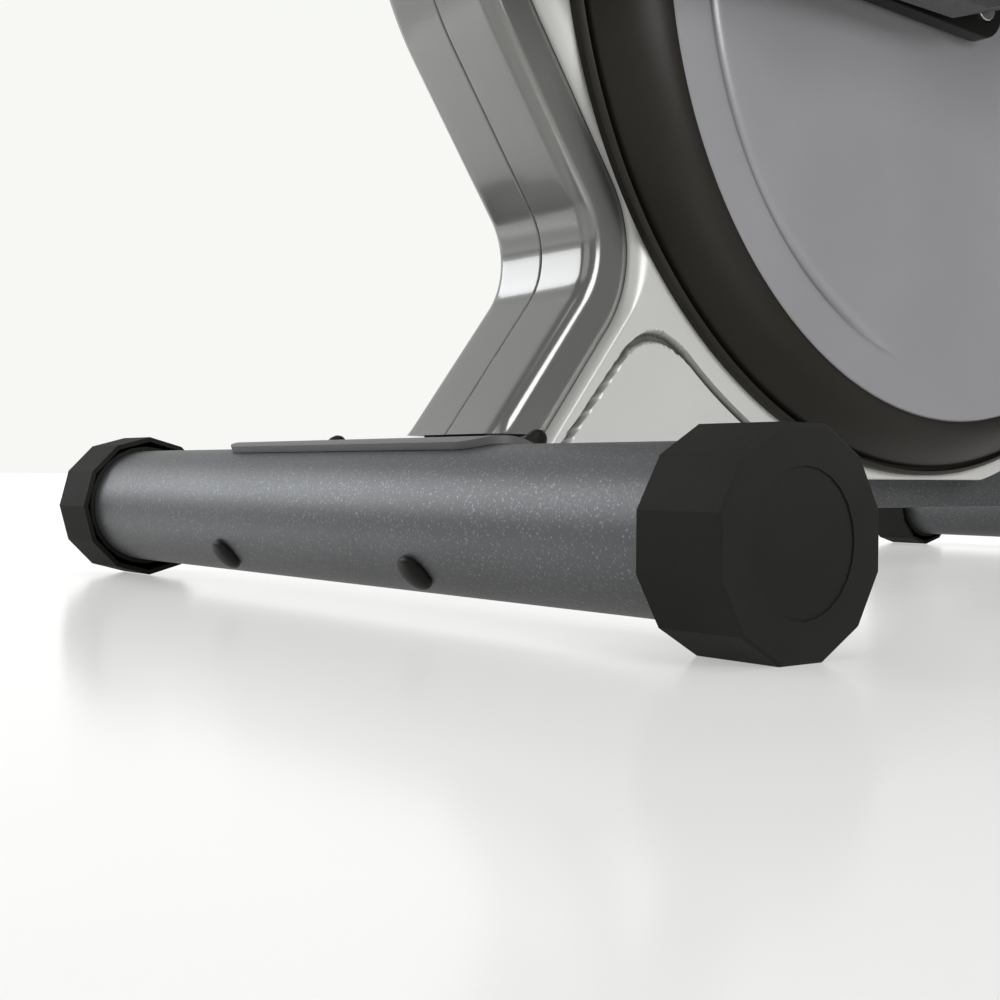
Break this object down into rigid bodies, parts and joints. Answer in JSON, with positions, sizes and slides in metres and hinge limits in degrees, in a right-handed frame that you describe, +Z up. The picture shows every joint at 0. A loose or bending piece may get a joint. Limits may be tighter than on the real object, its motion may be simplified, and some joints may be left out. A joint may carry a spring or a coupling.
{
  "type": "elliptical trainer",
  "caption": "Compact elliptical trainer with a bent front post, round drive casing, cranked pedal bars, swinging handles, magnetic brake and a console on a mast.",
  "frame": {"origin": "centre of the whole machine's box, on the floor", "axes": "+X forward towards the front stabiliser and console, +Y to the machine's left, +Z up"},
  "size_m": [1.043, 0.6348, 1.4041],
  "materials": {
    "powder_coat": "silver-grey metallic powder coat, satin with a fine sparkle",
    "black_plastic": "matt moulded black plastic",
    "black_steel": "gloss black coated steel",
    "post_plastic": "glossy metallic mid-grey plastic",
    "silver_plastic": "satin warm silver-grey plastic",
    "ring_plastic": "satin dark warm grey plastic",
    "panel_plastic": "satin medium blue-grey plastic",
    "bare_steel": "machined steel",
    "cast_iron": "turned grey iron",
    "rubber": "matt black rubber",
    "foam": "black closed-cell foam",
    "screen": "dark display window"
  },
  "bodies": {
    "frame": {"front_stabiliser": "powder_coat", "rear_stabiliser": "powder_coat", "front_saddle_plate": "black_steel", "rear_saddle_plate": "black_steel", "front_bolt_left": "black_steel", "front_bolt_right": "black_steel", "rear_bolt_left": "black_steel", "rear_bolt_right": "black_steel", "front_nut_left": "black_steel", "front_nut_right": "black_steel", "rear_nut_left": "black_steel", "rear_nut_right": "black_steel", "main_beam": "powder_coat", "post_tube": "powder_coat", "crank_frame": "powder_coat", "mast": "powder_coat", "mast_collar": "black_plastic", "post_cover_left": "post_plastic", "post_cover_right": "post_plastic", "casing_left": "silver_plastic", "casing_right": "silver_plastic", "casing_ring_left": "ring_plastic", "casing_ring_right": "ring_plastic", "side_panel_left": "panel_plastic", "side_panel_right": "panel_plastic", "crank_bearing_left": "bare_steel", "crank_bearing_right": "bare_steel", "flywheel_axle": "bare_steel", "drive_belt": "rubber", "tension_cable": "rubber", "swing_axle": "bare_steel", "fixed_handlebar": "powder_coat", "console_bracket": "black_plastic", "console_housing": "black_plastic", "console_screen": "screen"},
    "front_cap_left": {"front_cap_left": "black_plastic"},
    "front_cap_right": {"front_cap_right": "black_plastic"},
    "rear_cap_left": {"rear_cap_left": "black_plastic"},
    "rear_cap_right": {"rear_cap_right": "black_plastic"},
    "crankset": {"crank_axle": "bare_steel", "crank_pulley": "black_plastic", "crank_arm_left": "black_steel", "crank_arm_right": "black_steel"},
    "pedal_left": {"pedal_bar_left": "powder_coat", "foot_pedal_left": "black_plastic"},
    "pedal_right": {"pedal_bar_right": "powder_coat", "foot_pedal_right": "black_plastic"},
    "flywheel": {"flywheel": "cast_iron"},
    "idler_arm": {"idler_arm": "black_steel"},
    "idler_wheel": {"idler_wheel": "black_plastic"},
    "brake_bracket": {"magnet_bracket": "bare_steel"},
    "tension_knob": {"tension_knob": "black_plastic"},
    "swing_left": {"swing_arm_left": "powder_coat", "handle_left": "powder_coat", "handle_grip_left": "foam"},
    "swing_right": {"swing_arm_right": "powder_coat", "handle_right": "powder_coat", "handle_grip_right": "foam"},
    "button_left": {"console_button_left": "rubber"},
    "button_right": {"console_button_right": "rubber"}
  },
  "joints": [
    {"name": "front_cap_left_turn", "type": "hinge", "parent": "frame", "child": "front_cap_left", "pos_m": [0.43724, 0, 0.04928], "axis": [0, 1, 0], "continuous": true},
    {"name": "front_cap_right_turn", "type": "hinge", "parent": "frame", "child": "front_cap_right", "pos_m": [0.43724, 0, 0.04928], "axis": [0, 1, 0], "continuous": true},
    {"name": "rear_cap_left_turn", "type": "hinge", "parent": "frame", "child": "rear_cap_left", "pos_m": [-0.47476, 0, 0.04928], "axis": [0, 1, 0], "continuous": true},
    {"name": "rear_cap_right_turn", "type": "hinge", "parent": "frame", "child": "rear_cap_right", "pos_m": [-0.47476, 0, 0.04928], "axis": [0, 1, 0], "continuous": true},
    {"name": "crank_spin", "type": "hinge", "parent": "frame", "child": "crankset", "pos_m": [0.00024, 0, 0.394], "axis": [0, 1, 0], "continuous": true},
    {"name": "pedal_pivot_left", "type": "hinge", "parent": "crankset", "child": "pedal_left", "pos_m": [0.12024, 0.126, 0.394], "axis": [0, 1, 0], "continuous": true},
    {"name": "pedal_pivot_right", "type": "hinge", "parent": "crankset", "child": "pedal_right", "pos_m": [-0.11976, -0.126, 0.394], "axis": [0, 1, 0], "continuous": true},
    {"name": "flywheel_spin", "type": "hinge", "parent": "frame", "child": "flywheel", "pos_m": [0.14724, 0, 0.2], "axis": [0, 1, 0], "continuous": true},
    {"name": "idler_swing", "type": "hinge", "parent": "frame", "child": "idler_arm", "pos_m": [-0.00776, 0.029, 0.233], "axis": [0, 1, 0], "range_deg": [0, 8], "stiffness_Nm_per_rad": 2, "springref_deg": -5.73},
    {"name": "idler_spin", "type": "hinge", "parent": "idler_arm", "child": "idler_wheel", "pos_m": [0.02387, 0.046, 0.21685], "axis": [0, 1, 0], "continuous": true},
    {"name": "brake_swing", "type": "hinge", "parent": "frame", "child": "brake_bracket", "pos_m": [0.04024, 0, 0.262], "axis": [0, -1, 0], "range_deg": [0, 3.5]},
    {"name": "tension_turn", "type": "hinge", "parent": "frame", "child": "tension_knob", "pos_m": [0.34224, 0, 0.96], "axis": [1, 0, 0], "range_deg": [0, 300]},
    {"name": "swing_left_pivot", "type": "hinge", "parent": "frame", "child": "swing_left", "pos_m": [0.37724, 0.094, 0.8], "axis": [0, 1, 0], "range_deg": [0, 31.65]},
    {"name": "swing_right_pivot", "type": "hinge", "parent": "frame", "child": "swing_right", "pos_m": [0.37724, -0.094, 0.8], "axis": [0, 1, 0], "range_deg": [-31.65, 0]},
    {"name": "button_left_press", "type": "slide", "parent": "frame", "child": "button_left", "axis": [0.788, 0, -0.6157], "range_m": [0, 0.0015], "stiffness_N_per_m": 400},
    {"name": "button_right_press", "type": "slide", "parent": "frame", "child": "button_right", "axis": [0.788, 0, -0.6157], "range_m": [0, 0.0015], "stiffness_N_per_m": 400}
  ],
  "couplings": [
    {"joint": "pedal_pivot_left", "follows": "crank_spin", "ratio": -1},
    {"joint": "pedal_pivot_right", "follows": "crank_spin", "ratio": -1},
    {"joint": "flywheel_spin", "follows": "crank_spin", "ratio": 6.25},
    {"joint": "idler_spin", "follows": "crank_spin", "ratio": -6.9444},
    {"joint": "swing_right_pivot", "follows": "swing_left_pivot", "ratio": -1},
    {"joint": "brake_swing", "follows": "tension_turn", "ratio": 0.011667}
  ]
}
